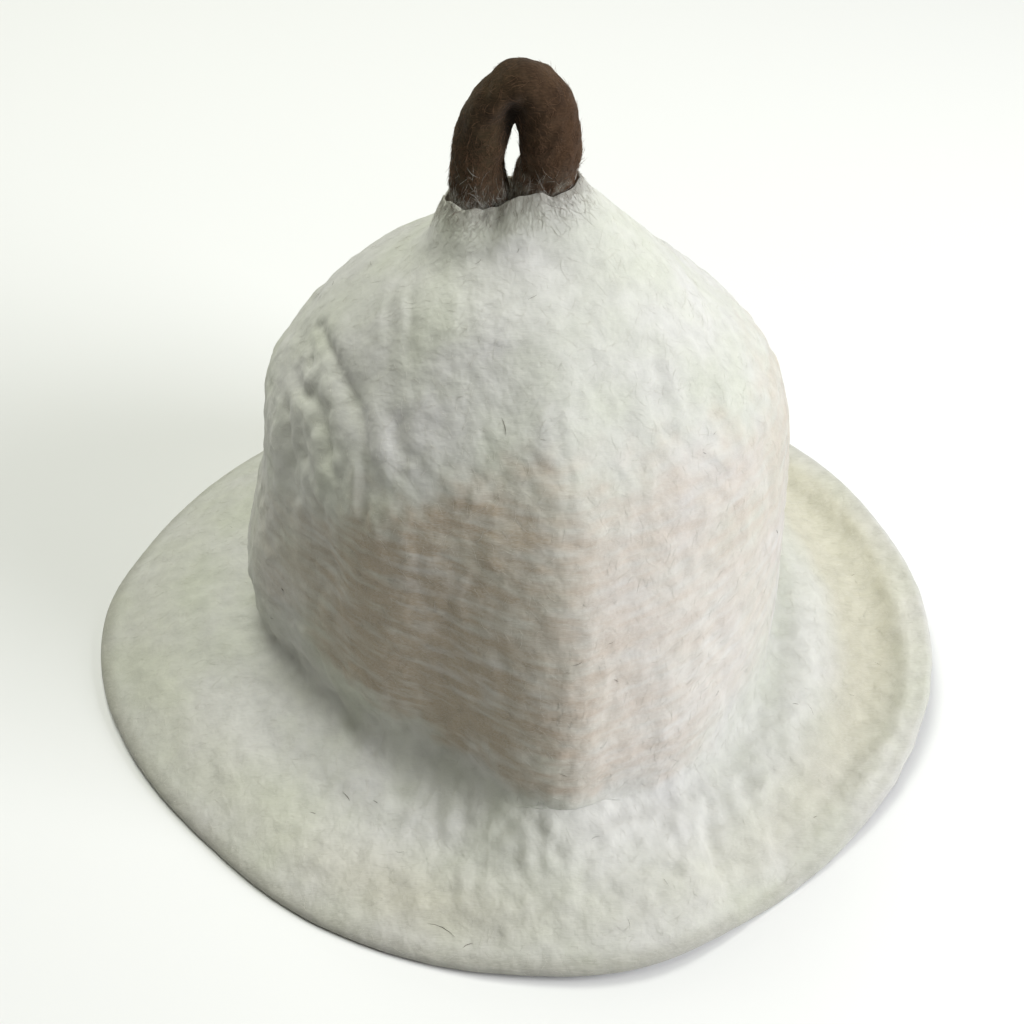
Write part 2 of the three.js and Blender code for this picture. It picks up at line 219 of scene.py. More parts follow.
# The real felt climbs on the loop's feet in a thin, uneven edge. Every 30 degrees from the front: how far
# it climbs over the CAD model's collar.
RIM_GAP = 0.4  # how far the edge stands off the pocket's wall
RIM_CLIMB = np.array([6.8, 7.4, 5.8, 6.2, 4.5, 3, 2.5, 2.5, 3.5, 4.7, 6.8, 4.6])


def profile_points(azimuth):
    """Radius and height of every station at the given azimuths, as two arrays with a row a station."""
    radians = np.radians(azimuth)
    plan, reach, lift, bow = (closed_curve(column, azimuth) for column in AROUND)
    tilted = COLLAR_TILT * np.sin(radians)
    climb = closed_curve(RIM_CLIMB, azimuth)
    radii = [slot_radius(radians, POCKET_RADIUS + more) for more in (RIM_GAP, COLLAR_FLARE)]
    heights = [COLLAR_TOP + tilted + climb, COLLAR_TOP - COLLAR_HEIGHT + tilted]
    for height, left, right, front, back, twist in CROWN_SECTIONS:
        oval = oval_radius(radians, left, right, front, back)
        radii.append(oval + plan * twist * CROWN_HALF_WIDTH)
        heights.append(np.full_like(radians, CREASE_HEIGHT + height * CROWN_RISE))
    crease_radius, crease_height = radii[-1], heights[-1]
    hem_radius = reach * BRIM_WIDTH + oval_radius(radians)
    hem_height = WALL - HEM_PRESS + lift * WAVE_HEIGHT
    for share in BRIM_SHARES:
        radii.append(crease_radius + (hem_radius - crease_radius) * share)
        bowed = bow * WAVE_HEIGHT * 4 * share * (1 - share)
        heights.append(crease_height + (hem_height - crease_height) * share + bowed)
    return np.array(radii), np.array(heights)


def plain_body(azimuth, station):
    """The surface before its folds: a profile at each azimuth, turned round the axis."""
    weights = station_weights(station)
    radii, heights = (weights @ table for table in profile_points(azimuth))
    radians = np.radians(azimuth)
    return np.stack([radii * np.sin(radians), -radii * np.cos(radians), heights], axis=-1)


def unit(vectors):
    """Vectors of length one."""
    return vectors / np.maximum(np.linalg.norm(vectors, axis=-1, keepdims=True), 1e-12)


def outward(surface, azimuth, station):
    """The outward direction of a surface: across its downhill step and its sideways step."""
    sideways = surface(azimuth + 0.5, station) - surface(azimuth - 0.5, station)
    below, above = np.minimum(LAST, station + 0.05), np.maximum(0, station - 0.05)
    return unit(np.cross(surface(azimuth, below) - surface(azimuth, above), sideways))


def fold_height(azimuth, station):
    """The height of all folds: a bell curve across each and along it, added up."""
    azimuths, stations = np.meshgrid(azimuth, station)
    total = np.zeros_like(azimuths)
    for middle, left, right, at, reach, lean, height in FOLDS:
        off = (azimuths - middle - lean * (stations - at) + 180) % 360 - 180
        bell = (off / np.where(off > 0, right, left)) ** 2 + ((stations - at) / reach) ** 2
        total += height * FOLD_HEIGHT * np.exp(-bell)
    return total


def folded_body(azimuth, station):
    """The surface with its folds, each lifted along the plain surface's outward direction."""
    lifted = fold_height(azimuth, station)[..., None] * outward(plain_body, azimuth, station)
    return plain_body(azimuth, station) + lifted


COLUMNS = 500  # steps round the hat
OUTER_ROWS = 160  # steps down the outside
azimuths = np.arange(COLUMNS) * 360 / COLUMNS
even = np.linspace(0, LAST, 1001)
steps = np.linalg.norm(np.diff(plain_body(azimuths[::20], even), axis=0), axis=-1).mean(1)
run = np.concatenate([[0], np.cumsum(steps)])
stations = np.interp(np.linspace(0, run[-1], OUTER_ROWS), run, even)
smooth = folded_body(azimuths, stations)
smooth_normals = outward(folded_body, azimuths, stations)
print("down the outside", round(run[-1]), "mm, a row every", round(run[-1] / OUTER_ROWS, 2), "mm")

# %% [markdown]
# ## Wrinkles
# Where the wet felt was pulled over the form it crumpled: a bundle of wavy wrinkles runs over the left
# shoulder, faint pleats over the top, and a double line along the crease at the front left. They are too
# narrow for the CAD solid. Each is a line of points on the surface, given by azimuth and station, that
# presses the felt in or lifts it, as a bell curve of the distance from the line. The points are first
# shifted a little by random hills, which makes each line wander as wool does.

# %% Wrinkles
# Height and half width in millimetres, then the line's points.
WRINKLES = [
    (-2.4, 2.8, [(-85, 2.9), (-75, 2.85), (-68.2, 2.83), (-62.2, 2.88), (-57.5, 2.93)]),
    (-2.2, 3, [(-59, 2.92), (-55.5, 2.96), (-48, 3.08), (-43.5, 3.22)]),
    (-1.6, 2.8, [(-45, 3.16), (-42.8, 3.26), (-39.8, 3.41), (-37.5, 3.61), (-36.4, 3.9), (-36.2, 4.2)]),
    (1, 3.4, [(-64, 3.14), (-61.5, 3.16), (-57.8, 3.18), (-50.2, 3.36), (-47.6, 3.46)]),
    (1, 3.4, [(-46, 3.36), (-44.2, 3.41), (-40.5, 3.56), (-39.8, 3.71), (-39.8, 3.9), (-39.8, 4.15)]),
    (1, 3.2, [(-87, 2.7), (-77, 2.66), (-67, 2.62), (-60, 2.68)]),
    (0.6, 3, [(-40, 3.2), (-36.8, 3.36), (-32.2, 3.51), (-30.5, 3.62)]),
    (0.9, 3, [(-47, 2.86), (-44.2, 2.93), (-39, 3.06), (-37, 3.14)]),
    (-1.2, 3, [(-37, 2.95), (-33.8, 3.03), (-29.2, 3.28), (-27.5, 3.5)]),
    (-2, 2.6, [(-79, 3.3), (-74, 3.38), (-70.5, 3.38), (-65, 3.36)]),
    (-2, 2.6, [(-66, 3.34), (-60.8, 3.33), (-55.5, 3.47), (-51.5, 3.66), (-48, 3.8)]),
    (-1.8, 2.2, [(-76.5, 3.08), (-75, 3.13), (-72, 3.17)]),
    (0.9, 2.8, [(-70, 3.42), (-64.5, 3.48), (-56.2, 3.66), (-53, 3.8)]),
    (-1.8, 2.8, [(-63, 3.86), (-59, 3.9), (-55.5, 3.96), (-53.5, 4.08)]),
    (-1.3, 2.4, [(-55, 4.1), (-54, 4.24), (-50.2, 4.29), (-48.5, 4.4)]),
    (-1.3, 2.4, [(-75, 3.6), (-69, 3.8), (-65, 4.05), (-63, 4.3)]),
    (0.6, 2.8, [(-73, 4.1), (-68, 4.3), (-61, 4.4)]),
    (0.4, 2.2, [(-75, 1.8), (-64, 2), (-55, 2.3), (-50, 2.6)]),
    (-0.5, 2, [(-70, 1.8), (-58, 2.04), (-48, 2.3), (-44, 2.6)]),
    (0.4, 2.2, [(-61.5, 1.7), (-50.2, 1.98), (-43.5, 2.25)]),
    (-0.5, 2, [(-57, 1.7), (-45, 1.98), (-38.5, 2.3)]),
    (0.5, 4, [(-85.5, 7.34), (-74.2, 7.2), (-62.2, 7.02), (-49.5, 6.82), (-30, 6.55), (-11.2, 6.6)]),
    (0.7, 3, [(-84.8, 6.75), (-72, 6.5), (-59.2, 6.3), (-45, 6.15), (-30, 6)]),
    (0.6, 3.4, [(-84, 7.9), (-72, 7.6), (-60, 7.4), (-45, 7.2)]),
    (-0.8, 2.2, [(-84, 6.3), (-70, 6), (-58, 5.8), (-46, 5.7)]),
    (-1, 2.2, [(-50, 4.75), (-45, 4.79), (-41.2, 4.73)]),
    (0.7, 1.7, [(72, 3.6), (68, 4), (66, 4.6), (66, 5.2)]),
    (-0.8, 1.7, [(69, 3.6), (65, 4), (63, 4.6), (63, 5.2)]),
    (0.7, 2.4, [(76, 2.6), (70, 2.9), (63, 3.3), (60, 3.7)]),
    (-0.7, 2.2, [(72, 2.5), (66, 2.8), (59, 3.2), (56, 3.6)]),
    (0.6, 2.4, [(62, 2.2), (55, 2.5), (50, 2.9), (47, 3.3)]),
    (-0.6, 2.2, [(57, 2.2), (50, 2.5), (45, 2.9), (43, 3.3)]),
    (-1.6, 1.8, [(60, 6.3), (60, 6.6), (59, 6.9), (57, 7.15)]),
    (-1.2, 1.8, [(54, 7), (53, 7.3), (50, 7.5)]),
    (1.4, 5, [(100, 7.7), (93.8, 7.86), (87, 7.9), (81.8, 7.95), (72.8, 7.9), (62, 7.75), (52, 7.7)]),
    (-0.6, 3.4, [(100, 8.35), (91, 8.5), (82, 8.55), (72.8, 8.5), (62, 8.4)]),
    (-1.6, 8, [(98, 8.9), (84, 9), (70, 9.05), (56, 9.1), (44, 9.2)]),
    (-3.2, 7.5, [(128, 8.8), (114, 8.9), (100, 8.8)]),
    (1.5, 3.6, [(102, 9.5), (90, 9.6), (78, 9.7), (66, 9.8), (54, 9.8), (42, 9.8)]),
    (-1.8, 3.6, [(34.5, 7.7), (31.6, 8), (30.4, 8.3), (29.8, 8.9), (29.4, 9.6)]),
    (2.8, 6, [(42.5, 7.8), (39, 8.1), (37.6, 8.5), (36.8, 9.1), (36, 9.6)]),
    (1, 3.6, [(28.5, 7.8), (26.5, 8.2), (25.8, 8.7), (25.4, 9.3)]),
    (1.2, 2.8, [(48, 7.9), (43, 8.2), (40, 8.7)]),
    (-1.4, 2.6, [(44, 7.7), (40, 8), (37.5, 8.3)]),
]


def wool_lumps(points, seed, shortest, longest, count=90):
    """Random hills: a sum of plane waves of random direction, phase and length, with a spread of one."""
    random = np.random.default_rng(seed)
    direction = unit(random.normal(size=(count, 3)))
    length = random.uniform(shortest, longest, count)
    phase = random.uniform(0, 2 * np.pi, count)
    turns = points.reshape(-1, 3) @ (direction * (2 * np.pi / length)[:, None]).T + phase
    return (np.cos(turns).sum(1) * np.sqrt(2 / count)).reshape(points.shape[:-1])


def along_line(points, count):
    """Azimuth and station of count places spread evenly over a line of points."""
    points = np.array(points, float)
    place = np.linspace(0, len(points) - 1, count)
    whole = np.arange(len(points))
    return np.interp(place, whole, points[:, 0]), np.interp(place, whole, points[:, 1])


def swerved(points):
    """The points, each moved by random hills of about a millimetre in each of the three directions."""
    return points + np.stack([0.9 * wool_lumps(points, seed, 9, 18) for seed in (11, 12, 13)], axis=-1)


def wrinkle_height(points, table, samples=36):
    """Height of all wrinkles at the points: a bell curve of the distance to each line, fading at its ends."""
    flat = points.reshape(-1, 3)
    total = np.zeros(len(flat))
    fade = np.sqrt(np.sin(np.linspace(0.06, np.pi - 0.06, samples)))
    for height, half_width, line in table:
        azimuth, station = along_line(line, samples)
        places = zip(azimuth[:, None], station[:, None])
        sites = swerved(np.array([folded_body(*place)[0, 0] for place in places]))
        reach = 3 * half_width
        low, high = sites.min(0) - reach, sites.max(0) + reach
        near = np.where(((flat > low) & (flat < high)).all(1))[0]
        gaps = ((flat[near, None] - sites[None]) ** 2).sum(-1)
        closest = gaps.argmin(1)
        bell = np.exp(-gaps[np.arange(len(near)), closest] / half_width**2)
        total[near] += height * fade[closest] * bell
    return total.reshape(points.shape[:-1])


wrinkled = wrinkle_height(swerved(smooth), WRINKLES)
print("wrinkles from", round(wrinkled.min(), 2), "to", round(wrinkled.max(), 2), "mm")

# %% [markdown]
# ## Lumps
# Hand-felted wool is never flat: the tufts that were laid side by side leave soft lumps a few millimetres
# wide. A sum of many plane waves in space, with random directions, makes such hills without any seam. Its
# absolute value turns the hills into puffs with narrow valleys between them, which is how tufts meet. They
# are strongest on the left shoulder and along the crease, and faint over the top and at the left brim.


# %% Lumps
def soft_step(low, high, value):
    """A smooth rise from 0 at low to 1 at high."""
    share = np.clip((value - low) / (high - low), 0, 1)
    return share * share * (3 - 2 * share)


def patch(azimuth, half_width, station, reach):
    """A soft patch on the grid: one in its middle and fading out over the given half widths."""
    azimuths_here, stations_here = np.meshgrid(azimuths, stations)
    off = (azimuths_here - azimuth + 180) % 360 - 180
    return np.exp(-((off / half_width) ** 2) - ((stations_here - station) / reach) ** 2)


left_shoulder = patch(-60, 34, 3.9, 1.2)
crease_zone = patch(20, 75, 7.0, 0.8) + patch(-60, 50, 6.6, 0.7)
front_brim = patch(25, 40, 8.6, 1.3)
lump_share = 0.5 + 0.45 * left_shoulder + 0.35 * crease_zone + 0.5 * front_brim
lump_share += 0.5 * patch(-50, 45, 6.9, 0.5)
lump_share -= 0.2 * patch(-70, 60, 9.2, 1.2)
lump_share -= 0.25 * (1 - soft_step(2.4, 3.4, stations))[:, None]
small_lumps = wool_lumps(smooth, 3, 5.0, 9.0)
wide_lumps = wool_lumps(smooth, 5, 14.0, 34.0)
puffs = np.sqrt(wool_lumps(swerved(smooth), 9, 9.0, 20.0) ** 2 + 0.08) - 0.8
relief = wrinkled + lump_share * (0.2 * small_lumps + 0.32 * wide_lumps + 0.42 * puffs)
relief *= (1 - 0.8 * soft_step(9.55, 9.9, stations))[:, None]
collar_fade = np.clip(stations / 0.8, 0, 1)[:, None]
outside = smooth + (relief * collar_fade)[..., None] * smooth_normals
# In the tight bend of the crease the lumps would push the felt through itself, so its rows are evened out
# there.
evening = 0.5 * np.clip(1.7 * patch(6, 42, 7.0, 0.32), 0, 1)[1:-1, :, None]
for _ in range(9):
    outside[1:-1] += evening * ((outside[:-2] + outside[2:]) / 2 - outside[1:-1])
ragged = 0.5 * wool_lumps(smooth, 14, 4.0, 10.0)
outside[..., 2] += ragged * np.clip(1 - stations / 0.5, 0, 1)[:, None]
print("relief spread", round(float(relief.std()), 2), "mm")

# %% [markdown]
# ## Closing the felt
# The felt has a thickness, so the surface goes on: round the hem in half a circle, up the inside 4.5 mm
# behind the outside, and shut under the loop's seat. Rows of points with equal counts make that simple,
# because a face joins each point with its neighbour and with the same two points of the next row.

# %% Closing the felt
HEM_ROWS = 5
INNER_ROWS = 16
INNER_TOP = 1.4

inner_stations = LAST - (LAST - INNER_TOP) * np.linspace(0, 1, INNER_ROWS) ** 1.25
inner_smooth = folded_body(azimuths, inner_stations)
inside = inner_smooth - WALL * outward(folded_body, azimuths, inner_stations)
inside += (0.25 * wool_lumps(inside, 8, 9.0, 22.0))[..., None] * unit(inside * np.array([1, 1, 0]))
hem_middle = (outside[-1] + inside[0]) / 2
hem_half = (outside[-1] - inside[0]) / 2
downhill = unit(outside[-1] - outside[-4])
turn = (np.arange(1, HEM_ROWS) / HEM_ROWS * np.pi)[:, None, None]
thickness = np.linalg.norm(hem_half, axis=-1, keepdims=True)
hem = hem_middle + hem_half * np.cos(turn) + downhill * thickness * np.sin(turn)

radians = np.radians(azimuths)


def slot_row(radius, height):
    """A row of points on a slot round the loop's feet at one height."""
    reach = slot_radius(radians, radius)
    return np.stack([reach * np.sin(radians), -reach * np.cos(radians), height + 0 * radians], axis=-1)


pocket = np.stack([slot_row(POCKET_RADIUS, POCKET_FLOOR), slot_row(POCKET_RADIUS, outside[0, :, 2] - 0.6)])
body_rows = np.concatenate([pocket, outside, hem, inside])
body_rows[..., 2] = np.maximum(body_rows[..., 2], 0)


def closed_faces(rows, columns):
    """Quads between neighbouring rows of a grid that closes round, and a fan to a point at each end."""
    corner = np.arange(rows * columns).reshape(rows, columns)
    beside = np.roll(corner, -1, axis=1)
    quads = np.stack([corner[:-1], corner[1:], beside[1:], beside[:-1]], axis=-1).reshape(-1, 4)
    tip, end = rows * columns, rows * columns + 1
    first = np.stack([np.full(columns, tip), corner[0], beside[0]], axis=-1)
    last = np.stack([np.full(columns, end), beside[-1], corner[-1]], axis=-1)
    return [quads, first, last]


def make_piece(name, points, face_groups):
    """A smooth mesh object from points in millimetres round the crown's axis and arrays of faces."""
    mesh = bpy.data.meshes.new(name)
    faces = [face for group in face_groups for face in group.tolist()]
    mesh.from_pydata(((points + AXIS) * MM).tolist(), [], faces)
    mesh.polygons.foreach_set("use_smooth", np.ones(len(faces), bool))
    mesh.update()
    piece = bpy.data.objects.new(name, mesh)
    bpy.context.scene.collection.objects.link(piece)
    triangles = sum(len(face) - 2 for face in faces)
    print(name, "has", len(points), "points and", triangles, "triangles")
    return piece


def close_grid(name, rows, first_tip, last_tip):
    """A closed piece from rows of points and the two points that shut its ends."""
    points = np.concatenate([rows.reshape(-1, 3), [first_tip, last_tip]])
    return make_piece(name, points, closed_faces(*rows.shape[:2]))


felt_hat = close_grid("felt_hat", body_rows, (0, 0, POCKET_FLOOR), (0, 0, POCKET_FLOOR - WALL))
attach(felt_hat, "root")
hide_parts("felt_body")

# %% [markdown]
# ## The beige zone
# A thin layer of tinted wool was laid over the white before felting. It shows as a soft pinkish-beige zone
# round the crown, from under the shoulder to just above the crease, with a ragged edge. Its strength is
# worked out for every point of the mesh and stored there as an attribute, which the material reads.

# %% The beige zone
# Every 30 degrees from the front: the stations of its upper and lower edge, and its strength at each.
BEIGE = np.array([
    (3.3, 6.4, 0.9, 1.15), (3.35, 6.5, 0.62, 0.5), (3.5, 6.3, 0.62, 0.14), (3.45, 6.3, 0.6, 0.2),
    (3.5, 6.4, 0.7, 0.4), (3.7, 6.3, 0.8, 0.5), (3.9, 6.2, 0.7, 0.5), (4.1, 6.2, 0.5, 0.4),
    (4.5, 6.2, 0.3, 0.25), (5, 6, 0.12, 0.1), (4.6, 5.9, 0.6, 0.5), (3.8, 6.1, 1.2, 1.25),
]).T


def beige_share(azimuth, station, points):
    """One inside the zone and zero outside, with a border that wanders by a few millimetres."""
    top, bottom, upper, lower = (closed_curve(column, azimuth) for column in BEIGE)
    here = station + 0.09 * wool_lumps(points, 21, 12, 40) + 0.05 * wool_lumps(points, 22, 4, 9)
    down = np.clip((here - top) / (bottom - top), 0, 1)
    strength = upper + (lower - upper) * down * down
    begun = soft_step(top - 0.3, top + 0.4, here)
    ended = soft_step(bottom - 0.35, bottom + 0.3, here)
    return strength * begun * (1 - ended)


beige = np.zeros(body_rows.shape[:2])
beige[len(pocket) : len(pocket) + OUTER_ROWS] = beige_share(azimuths[None], stations[:, None], smooth)


def store(piece, name, values):
    """Values for the grid's points as an attribute of the piece, with zero at its two end points."""
    attribute = piece.data.attributes.new(name, "FLOAT", "POINT")
    attribute.data.foreach_set("value", np.append(values.ravel(), [0, 0]))


store(felt_hat, "beige", beige)
outer = slice(len(pocket), len(pocket) + OUTER_ROWS)
cream, painted_highlight, veil, hem_painted_shade = np.zeros((4, *body_rows.shape[:2]))
# Partly the wool's own creamier tint and partly painted shade: a darker cream in the dish of the right brim,
# behind the crown at the back right and on the front brim.
cream[outer] = patch(80, 44, 8.9, 0.8) + 1.1 * patch(114, 24, 8.9, 0.9) + 0.3 * patch(-40, 60, 9.2, 0.8)
cream[outer] += 0.5 * patch(-14, 14, 9.2, 0.6)
# Painted highlights: the felt is painted paler on the lit face right of the keel, on the bulge at the right
# and round the collar's foot.
painted_highlight[outer] = 0.8 * patch(16, 17, 7.9, 0.8) + 0.7 * patch(78, 26, 7.7, 0.4) + 0.9 * patch(2, 46, 1.2, 0.55)
painted_highlight[outer] += 0.6 * patch(30, 22, 5.4, 1.6)
mottle = np.clip(0.5 + 0.35 * wool_lumps(smooth, 15, 2.5, 8.0), 0, 1)
veil[outer] = 0.45 * mottle * np.exp(-((stations / 0.16) ** 2))[:, None]
veil[: len(pocket)] = 0.9
# Painted shade: the rounded hem is painted a darker grey, most at the front and left and least at the right.
hem_painted_shade[outer] = soft_step(9.7, 10.0, stations)[:, None]
hem_painted_shade[outer.stop : outer.stop + HEM_ROWS + 2] = 1
hem_painted_shade *= 0.21 + 0.39 * soft_step(-0.2, 0.8, np.cos(np.radians(azimuths + 35)))
for name, values in (("cream", cream), ("painted_highlight", painted_highlight), ("veil", veil), ("hem_painted_shade", hem_painted_shade)):
    store(felt_hat, name, values)
print("beige covers", round(float((beige > 0.5).mean()) * 100), "% of the body's points")

# %% [markdown]
# ## The hanging loop
# The loop is a fat roll of brown wool, bent over sharply and felted into the crown at both ends. Its two
# legs almost touch and leave a slit. A section is carried along a line, round in the legs and squarer at
# the feet, which fill the seat. Where the roll is bent most it is pinched from front and back.

# %% The hanging loop
# From the left foot over the top to the right foot, in millimetres: place sideways, height, half width and
# half depth. Then squareness, where 2 is an ellipse.
LOOP_ROWS = np.array([
    (-9.6, 183.6, 8.9, 8.5, 3.4), (-9.4, 189.5, 9, 8.5, 3), (-10.1, 195, 8.5, 8.2, 2.3),
    (-10.1, 200.5, 8.2, 8, 2), (-9.3, 206, 7.8, 7.8, 2), (-8.2, 211, 7.7, 7.6, 2),
    (-6.3, 216.6, 7.4, 7.5, 2), (-3, 221, 7.3, 7.5, 2), (0.8, 224.6, 7.5, 7.6, 2),
    (4.6, 225.4, 7.8, 7.7, 2), (7.6, 223, 8.2, 8, 2), (9.8, 218, 8.7, 8.2, 2),
    (11.1, 212, 9, 8.5, 2), (11.4, 206, 9.2, 8.6, 2), (11.1, 200.5, 9.1, 8.5, 2),
    (10, 195.2, 9.6, 8.5, 2.4), (9.7, 190, 9.6, 8.5, 3), (9.9, 183.6, 8.9, 8.5, 3.4),
])
LOOP_STEPS = 180
LOOP_SIDES = 90


def open_curve(values, places):
    """A smooth curve through evenly spaced values, the first and last held beyond the ends."""
    first = np.minimum(np.floor(places).astype(int), len(values) - 2)
    weights = smooth_steps(places - first)
    four = np.clip(first + np.arange(-1, 3)[:, None], 0, len(values) - 1)
    return (weights[..., None] * values[four]).sum(0)


shape = open_curve(LOOP_ROWS, np.linspace(0, len(LOOP_ROWS) - 1, LOOP_STEPS))
line = np.stack([shape[:, 0], 0 * shape[:, 0], shape[:, 1]], 1)
along = unit(np.gradient(line, axis=0))
along[[0, -1]] = (0, 0, 1), (0, 0, -1)
in_plane = np.stack([along[:, 2], 0 * along[:, 0], -along[:, 0]], 1)
angle = np.linspace(0, 2 * np.pi, LOOP_SIDES, endpoint=False)
half_width, half_depth, square = (shape[:, k, None] for k in (2, 3, 4))
corner = (np.abs(np.cos(angle)) ** square + np.abs(np.sin(angle)) ** square) ** (1 / square)
wide = half_width * np.cos(angle) / corner
deep = half_depth * np.sin(angle) / corner
loop_smooth = line[:, None] + in_plane[:, None] * wide[..., None] + np.array([0, 1, 0]) * deep[..., None]
pinch_and_painted_shade = np.exp(-(((loop_smooth[..., 0] - 0.6) / 3.4) ** 2) - ((loop_smooth[..., 2] - 215.5) / 7.5) ** 4)
loop_smooth[..., 1] *= 1 - 0.62 * pinch_and_painted_shade
loop_lumps = 0.14 * wool_lumps(loop_smooth, 31, 3.5, 8) + 0.26 * wool_lumps(loop_smooth, 32, 9, 20)
loop_lumps *= np.clip((loop_smooth[..., 2] - 188) / 6, 0.2, 1)
away = unit(loop_smooth - line[:, None])
loop_rows = (loop_smooth + away * loop_lumps[..., None])[::-1]
felt_loop = close_grid("felt_loop", loop_rows, line[-1], line[0])
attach(felt_loop, "root")
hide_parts("hanging_loop")
# Painted shade: the same mask that pinches the bend paints it nearly black.
store(felt_loop, "pinch_and_painted_shade", 0.85 * pinch_and_painted_shade[::-1])
loop_azimuth = np.degrees(np.arctan2(loop_rows[..., 0], -loop_rows[..., 1]))
rim = COLLAR_TOP + COLLAR_TILT * np.sin(np.radians(loop_azimuth)) + closed_curve(RIM_CLIMB, loop_azimuth)
over = loop_rows[..., 2] - rim
mottle = np.clip(0.5 + 0.4 * wool_lumps(loop_rows, 33, 2.0, 6.0), 0, 1)
store(felt_loop, "veil", 0.75 * mottle * np.exp(-(np.maximum(over + 0.3, 0) / 2.6)))

# %% [markdown]
# ## Loose fibres
# Felt is never bald. Single fibres stand off it, lie across it and catch the light. Hair particles would be
# lost in the export, so each fibre is a small closed thread of mesh, and thousands of them are made at once
# as arrays: a place on the surface, a heading, a length, a bend and a lift. Real wool is 0.03 mm thick, too
# fine to show in the render, so the threads are drawn two to five times as thick as that.


# %% Loose fibres
def grid_normals(grid):
    """The outward direction at each point of a grid that closes round, from its neighbours."""
    downwards = np.gradient(grid, axis=0)
    sideways = np.roll(grid, -1, axis=1) - np.roll(grid, 1, axis=1)
    return unit(np.cross(downwards, sideways))


def on_grid(grid, row, column):
    """Values between the points of a grid, by their four neighbours, closed round."""
    row = np.clip(row, 0, grid.shape[0] - 1.001)
    above, left = np.floor(row).astype(int), np.floor(column).astype(int)
    down, beside = (row - above)[..., None], (column - left)[..., None]
    left, right = left % grid.shape[1], (left + 1) % grid.shape[1]
    upper = grid[above, left] * (1 - beside) + grid[above, right] * beside
    lower = grid[above + 1, left] * (1 - beside) + grid[above + 1, right] * beside
    return upper * (1 - down) + lower * down


def threads(lines, up, thickness):
    """Closed threads along lines of five points: three rings of three points and a point at both ends."""
    tangent = unit(np.gradient(lines, axis=1))
    side = unit(np.cross(tangent, up[:, None]))
    top = np.cross(side, tangent)
    count = len(lines)
    width = thickness[:, None] * np.array([0.8, 1.0, 0.8]) / 2
    turns = np.radians([90, 210, 330])
    offsets = side[:, 1:4, None] * np.cos(turns)[:, None] + top[:, 1:4, None] * np.sin(turns)[:, None]
    rings = lines[:, 1:4, None] + offsets * width[..., None, None]
    points = np.concatenate([rings.reshape(count, 9, 3), lines[:, :1], lines[:, 4:]], axis=1)
    one, two = np.arange(3), np.roll(np.arange(3), -1)
    quads = np.stack([one, two, two + 3, one + 3], 1)
    quads = np.concatenate([quads, quads + 3])
    start = np.stack([np.full(3, 9), two, one], 1)
    end = np.stack([np.full(3, 10), one + 6, two + 6], 1)
    base = (np.arange(count) * 11)[:, None, None]
    groups = [(quads + base).reshape(-1, 4), (start + base).reshape(-1, 3), (end + base).reshape(-1, 3)]
    return points.reshape(-1, 3), groups


def scatter(grid, weight, count, seed):
    """Random rows and columns of a grid, more of them where a face is larger and its weight higher."""
    random = np.random.default_rng(seed)
    downwards = np.diff(grid, axis=0)
    sideways = np.roll(grid, -1, axis=1)[:-1] - grid[:-1]
    chance = np.linalg.norm(np.cross(downwards, sideways), axis=-1) * weight[:-1]
    total = np.cumsum(chance.ravel())
    chosen = np.searchsorted(total, random.uniform(0, total[-1], count))
    row, column = np.unravel_index(chosen, chance.shape)
    return row + random.uniform(size=count), column + random.uniform(size=count)


def thread_lines(grid, row, column, long, aim, bend, rise):
    """Lines of five points on a grid at given places, with a length, an aim, a bend and a lift at one end."""
    above = np.clip(row.astype(int), 0, grid.shape[0] - 2)
    left = column.astype(int) % grid.shape[1]
    here = grid[above, left]
    row_step = np.linalg.norm(grid[above + 1, left] - here, axis=-1)
    column_step = np.linalg.norm(grid[above, (left + 1) % grid.shape[1]] - here, axis=-1)
    share = np.linspace(-0.5, 0.5, 5)[None]
    sideways = share * (long * np.cos(aim))[:, None] - share**2 * (bend * np.sin(aim))[:, None]
    downwards = share * (long * np.sin(aim))[:, None] + share**2 * (bend * np.cos(aim))[:, None]
    rows = row[:, None] + downwards / np.maximum(row_step, 0.3)[:, None]
    columns = column[:, None] + sideways / np.maximum(column_step, 0.3)[:, None]
    up = on_grid(grid_normals(grid), row, column)
    lift = 0.03 + rise[:, None] * (share + 0.5) ** 2
    lines = on_grid(grid, rows, columns) + up[:, None] * lift[..., None]
    lines[..., 2] = np.maximum(lines[..., 2], 0.1)
    return lines, up


def lay_threads(grid, weight, count, seed, length, heading, lift, thickness, curl=0.35):
    """Threads that lie on a grid. heading holds the middle and spread of their direction, from level."""
    random = np.random.default_rng(seed + 100)
    row, column = scatter(grid, weight, count, seed)
    long = length * random.lognormal(0, 0.35, count)
    aim = np.radians(random.normal(heading[0], heading[1], count))
    bend = random.normal(0, curl, count) * long
    lines, up = thread_lines(grid, row, column, long, aim, bend, random.exponential(lift, count))
    return threads(lines, up, thickness * random.uniform(0.7, 1.3, count))


def join_threads(*sets):
    """Several sets of threads as one: the faces of each count on from the points of those before it."""
    starts = np.cumsum([0] + [len(points) for points, groups in sets])
    joined = [group + start for (points, groups), start in zip(sets, starts) for group in groups]
    return np.concatenate([points for points, groups in sets]), joined


body_grid = body_rows[len(pocket) :]
show = np.ones(body_grid.shape[:2])
show[OUTER_ROWS + HEM_ROWS :] = 0.25
collar_rows = np.zeros(body_grid.shape[:2])
collar_rows[:OUTER_ROWS] = np.exp(-((stations / 0.35) ** 2))[:, None]
loop_heights = loop_rows[..., 2]
seat = soft_step(186, 189, loop_heights) * np.exp(-np.maximum(loop_heights - 190, 0) / 2.6)
lower_loop = 0.12 + 0.88 * (1 - soft_step(200, 222, loop_heights))
lower_loop *= soft_step(188, 191, loop_heights)
